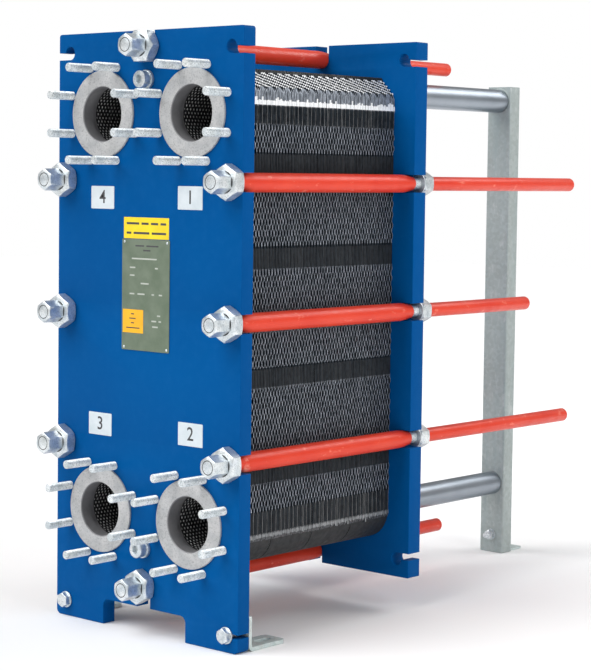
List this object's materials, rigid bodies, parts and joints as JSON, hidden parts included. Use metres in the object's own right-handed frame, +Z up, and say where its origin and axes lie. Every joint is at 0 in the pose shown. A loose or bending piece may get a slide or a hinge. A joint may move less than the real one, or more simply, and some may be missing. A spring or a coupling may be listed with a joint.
{
  "type": "plate heat exchanger",
  "caption": "Gasketed plate heat exchanger: blue frame and pressure plates clamp a pack of corrugated plates with sleeved tie bolts, with studded flange ports on one face.",
  "frame": {"origin": "on the floor, in the middle of the whole footprint's box", "axes": "+X across the plates, to the right seen from the ports; +Y from the frame plate with the ports to the support column; +Z up"},
  "size_m": [0.475, 1.2094, 1.078],
  "materials": {
    "blue_paint": "smooth semi-gloss blue machine enamel, a little orange peel, edges slightly darker",
    "port_steel": "blasted stainless raised face with a turned dark bore",
    "zinc_plate": "bright zinc plated fasteners, threads dulled, tool marks on the flats",
    "label_metal": "dark anodised metal data plate, blank boxes only",
    "polished_steel": "ground and hard chromed round bar",
    "galvanised_steel": "dull galvanised section with faint spangle and mill streaks",
    "bronze": "plain machined bronze slide bush",
    "plate_pack": "thin pressed stainless edges with black rubber gaskets between",
    "red_plastic": "soft translucent red-orange protective tube, glossy, light scuffs"
  },
  "bodies": {
    "root": {"frame_plate": "blue_paint", "port_liner_upper_left": "port_steel", "port_studs_upper_left": "zinc_plate", "port_liner_upper_right": "port_steel", "port_studs_upper_right": "zinc_plate", "port_liner_lower_left": "port_steel", "port_studs_lower_left": "zinc_plate", "port_liner_lower_right": "port_steel", "port_studs_lower_right": "zinc_plate", "nameplate": "label_metal", "carrying_bar": "polished_steel", "guide_bar": "polished_steel", "carrying_bar_screw": "zinc_plate", "guide_bar_screw": "zinc_plate", "support_column": "galvanised_steel", "front_foot_bracket_left": "galvanised_steel", "front_foot_bracket_right": "galvanised_steel", "foot_bolt_left": "zinc_plate", "foot_bolt_right": "zinc_plate", "column_foot_bracket": "galvanised_steel", "column_foot_bolt": "zinc_plate"},
    "pressure_plate": {"pressure_plate": "blue_paint", "hanger_bush": "bronze", "guide_bush": "bronze"},
    "plate_group_1": {"plate_group_1": "plate_pack"},
    "plate_group_2": {"plate_group_2": "plate_pack"},
    "plate_group_3": {"plate_group_3": "plate_pack"},
    "plate_group_4": {"plate_group_4": "plate_pack"},
    "tie_bolt_upper_left": {"tie_bolt_upper_left": "zinc_plate", "front_sleeve_upper_left": "red_plastic"},
    "rear_sleeve_upper_left": {"rear_sleeve_upper_left": "red_plastic"},
    "rear_nut_upper_left": {"rear_nut_upper_left": "zinc_plate"},
    "tie_bolt_upper_right": {"tie_bolt_upper_right": "zinc_plate", "front_sleeve_upper_right": "red_plastic"},
    "rear_sleeve_upper_right": {"rear_sleeve_upper_right": "red_plastic"},
    "rear_nut_upper_right": {"rear_nut_upper_right": "zinc_plate"},
    "tie_bolt_middle_left": {"tie_bolt_middle_left": "zinc_plate", "front_sleeve_middle_left": "red_plastic"},
    "rear_sleeve_middle_left": {"rear_sleeve_middle_left": "red_plastic"},
    "rear_nut_middle_left": {"rear_nut_middle_left": "zinc_plate"},
    "tie_bolt_middle_right": {"tie_bolt_middle_right": "zinc_plate", "front_sleeve_middle_right": "red_plastic"},
    "rear_sleeve_middle_right": {"rear_sleeve_middle_right": "red_plastic"},
    "rear_nut_middle_right": {"rear_nut_middle_right": "zinc_plate"},
    "tie_bolt_lower_left": {"tie_bolt_lower_left": "zinc_plate", "front_sleeve_lower_left": "red_plastic"},
    "rear_sleeve_lower_left": {"rear_sleeve_lower_left": "red_plastic"},
    "rear_nut_lower_left": {"rear_nut_lower_left": "zinc_plate"},
    "tie_bolt_lower_right": {"tie_bolt_lower_right": "zinc_plate", "front_sleeve_lower_right": "red_plastic"},
    "rear_sleeve_lower_right": {"rear_sleeve_lower_right": "red_plastic"},
    "rear_nut_lower_right": {"rear_nut_lower_right": "zinc_plate"},
    "tie_bolt_top_centre": {"tie_bolt_top_centre": "zinc_plate", "front_sleeve_top_centre": "red_plastic"},
    "rear_sleeve_top_centre": {"rear_sleeve_top_centre": "red_plastic"},
    "rear_nut_top_centre": {"rear_nut_top_centre": "zinc_plate"},
    "tie_bolt_bottom_centre": {"tie_bolt_bottom_centre": "zinc_plate", "front_sleeve_bottom_centre": "red_plastic"},
    "rear_sleeve_bottom_centre": {"rear_sleeve_bottom_centre": "red_plastic"},
    "rear_nut_bottom_centre": {"rear_nut_bottom_centre": "zinc_plate"}
  },
  "joints": [
    {"name": "pressure_plate_slide", "type": "slide", "parent": "root", "child": "pressure_plate", "axis": [0, 1, 0], "range_m": [0, 0.17]},
    {"name": "plate_group_1_slide", "type": "slide", "parent": "root", "child": "plate_group_1", "axis": [0, 1, 0], "range_m": [0, 0.034]},
    {"name": "plate_group_2_slide", "type": "slide", "parent": "root", "child": "plate_group_2", "axis": [0, 1, 0], "range_m": [0, 0.068]},
    {"name": "plate_group_3_slide", "type": "slide", "parent": "root", "child": "plate_group_3", "axis": [0, 1, 0], "range_m": [0, 0.102]},
    {"name": "plate_group_4_slide", "type": "slide", "parent": "root", "child": "plate_group_4", "axis": [0, 1, 0], "range_m": [0, 0.136]},
    {"name": "tie_bolt_upper_left_out", "type": "slide", "parent": "root", "child": "tie_bolt_upper_left", "axis": [-1, 0, 0], "range_m": [0, 0.06]},
    {"name": "rear_sleeve_upper_left_back", "type": "slide", "parent": "tie_bolt_upper_left", "child": "rear_sleeve_upper_left", "axis": [0, 1, 0], "range_m": [0, 0.17]},
    {"name": "rear_nut_upper_left_spin", "type": "hinge", "parent": "rear_sleeve_upper_left", "child": "rear_nut_upper_left", "pos_m": [-0.21, -0.02505, 0.812], "axis": [0, -1, 0], "continuous": true},
    {"name": "tie_bolt_upper_right_out", "type": "slide", "parent": "root", "child": "tie_bolt_upper_right", "axis": [1, 0, 0], "range_m": [0, 0.06]},
    {"name": "rear_sleeve_upper_right_back", "type": "slide", "parent": "tie_bolt_upper_right", "child": "rear_sleeve_upper_right", "axis": [0, 1, 0], "range_m": [0, 0.17]},
    {"name": "rear_nut_upper_right_spin", "type": "hinge", "parent": "rear_sleeve_upper_right", "child": "rear_nut_upper_right", "pos_m": [0.21, -0.02505, 0.812], "axis": [0, -1, 0], "continuous": true},
    {"name": "tie_bolt_middle_left_out", "type": "slide", "parent": "root", "child": "tie_bolt_middle_left", "axis": [-1, 0, 0], "range_m": [0, 0.06]},
    {"name": "rear_sleeve_middle_left_back", "type": "slide", "parent": "tie_bolt_middle_left", "child": "rear_sleeve_middle_left", "axis": [0, 1, 0], "range_m": [0, 0.17]},
    {"name": "rear_nut_middle_left_spin", "type": "hinge", "parent": "rear_sleeve_middle_left", "child": "rear_nut_middle_left", "pos_m": [-0.21, -0.02505, 0.57], "axis": [0, -1, 0], "continuous": true},
    {"name": "tie_bolt_middle_right_out", "type": "slide", "parent": "root", "child": "tie_bolt_middle_right", "axis": [1, 0, 0], "range_m": [0, 0.06]},
    {"name": "rear_sleeve_middle_right_back", "type": "slide", "parent": "tie_bolt_middle_right", "child": "rear_sleeve_middle_right", "axis": [0, 1, 0], "range_m": [0, 0.17]},
    {"name": "rear_nut_middle_right_spin", "type": "hinge", "parent": "rear_sleeve_middle_right", "child": "rear_nut_middle_right", "pos_m": [0.21, -0.02505, 0.57], "axis": [0, -1, 0], "continuous": true},
    {"name": "tie_bolt_lower_left_out", "type": "slide", "parent": "root", "child": "tie_bolt_lower_left", "axis": [-1, 0, 0], "range_m": [0, 0.06]},
    {"name": "rear_sleeve_lower_left_back", "type": "slide", "parent": "tie_bolt_lower_left", "child": "rear_sleeve_lower_left", "axis": [0, 1, 0], "range_m": [0, 0.17]},
    {"name": "rear_nut_lower_left_spin", "type": "hinge", "parent": "rear_sleeve_lower_left", "child": "rear_nut_lower_left", "pos_m": [-0.21, -0.02505, 0.328], "axis": [0, -1, 0], "continuous": true},
    {"name": "tie_bolt_lower_right_out", "type": "slide", "parent": "root", "child": "tie_bolt_lower_right", "axis": [1, 0, 0], "range_m": [0, 0.06]},
    {"name": "rear_sleeve_lower_right_back", "type": "slide", "parent": "tie_bolt_lower_right", "child": "rear_sleeve_lower_right", "axis": [0, 1, 0], "range_m": [0, 0.17]},
    {"name": "rear_nut_lower_right_spin", "type": "hinge", "parent": "rear_sleeve_lower_right", "child": "rear_nut_lower_right", "pos_m": [0.21, -0.02505, 0.328], "axis": [0, -1, 0], "continuous": true},
    {"name": "tie_bolt_top_centre_out", "type": "slide", "parent": "root", "child": "tie_bolt_top_centre", "axis": [0, 0, 1], "range_m": [0, 0.06]},
    {"name": "rear_sleeve_top_centre_back", "type": "slide", "parent": "tie_bolt_top_centre", "child": "rear_sleeve_top_centre", "axis": [0, 1, 0], "range_m": [0, 0.17]},
    {"name": "rear_nut_top_centre_spin", "type": "hinge", "parent": "rear_sleeve_top_centre", "child": "rear_nut_top_centre", "pos_m": [0, -0.02505, 1.0496], "axis": [0, -1, 0], "continuous": true},
    {"name": "tie_bolt_bottom_centre_out", "type": "slide", "parent": "root", "child": "tie_bolt_bottom_centre", "axis": [0, 0, -1], "range_m": [0, 0.05]},
    {"name": "rear_sleeve_bottom_centre_back", "type": "slide", "parent": "tie_bolt_bottom_centre", "child": "rear_sleeve_bottom_centre", "axis": [0, 1, 0], "range_m": [0, 0.17]},
    {"name": "rear_nut_bottom_centre_spin", "type": "hinge", "parent": "rear_sleeve_bottom_centre", "child": "rear_nut_bottom_centre", "pos_m": [0, -0.02505, 0.086], "axis": [0, -1, 0], "continuous": true}
  ],
  "couplings": [
    {"joint": "plate_group_1_slide", "follows": "pressure_plate_slide", "ratio": 0.2},
    {"joint": "plate_group_2_slide", "follows": "pressure_plate_slide", "ratio": 0.4},
    {"joint": "plate_group_3_slide", "follows": "pressure_plate_slide", "ratio": 0.6},
    {"joint": "plate_group_4_slide", "follows": "pressure_plate_slide", "ratio": 0.8},
    {"joint": "rear_sleeve_upper_left_back", "follows": "pressure_plate_slide", "ratio": 1},
    {"joint": "rear_nut_upper_left_spin", "follows": "pressure_plate_slide", "rad_per_m": 2094.4},
    {"joint": "rear_sleeve_upper_right_back", "follows": "pressure_plate_slide", "ratio": 1},
    {"joint": "rear_nut_upper_right_spin", "follows": "pressure_plate_slide", "rad_per_m": 2094.4},
    {"joint": "rear_sleeve_middle_left_back", "follows": "pressure_plate_slide", "ratio": 1},
    {"joint": "rear_nut_middle_left_spin", "follows": "pressure_plate_slide", "rad_per_m": 2094.4},
    {"joint": "rear_sleeve_middle_right_back", "follows": "pressure_plate_slide", "ratio": 1},
    {"joint": "rear_nut_middle_right_spin", "follows": "pressure_plate_slide", "rad_per_m": 2094.4},
    {"joint": "rear_sleeve_lower_left_back", "follows": "pressure_plate_slide", "ratio": 1},
    {"joint": "rear_nut_lower_left_spin", "follows": "pressure_plate_slide", "rad_per_m": 2094.4},
    {"joint": "rear_sleeve_lower_right_back", "follows": "pressure_plate_slide", "ratio": 1},
    {"joint": "rear_nut_lower_right_spin", "follows": "pressure_plate_slide", "rad_per_m": 2094.4},
    {"joint": "rear_sleeve_top_centre_back", "follows": "pressure_plate_slide", "ratio": 1},
    {"joint": "rear_nut_top_centre_spin", "follows": "pressure_plate_slide", "rad_per_m": 2094.4},
    {"joint": "rear_sleeve_bottom_centre_back", "follows": "pressure_plate_slide", "ratio": 1},
    {"joint": "rear_nut_bottom_centre_spin", "follows": "pressure_plate_slide", "rad_per_m": 2094.4}
  ]
}
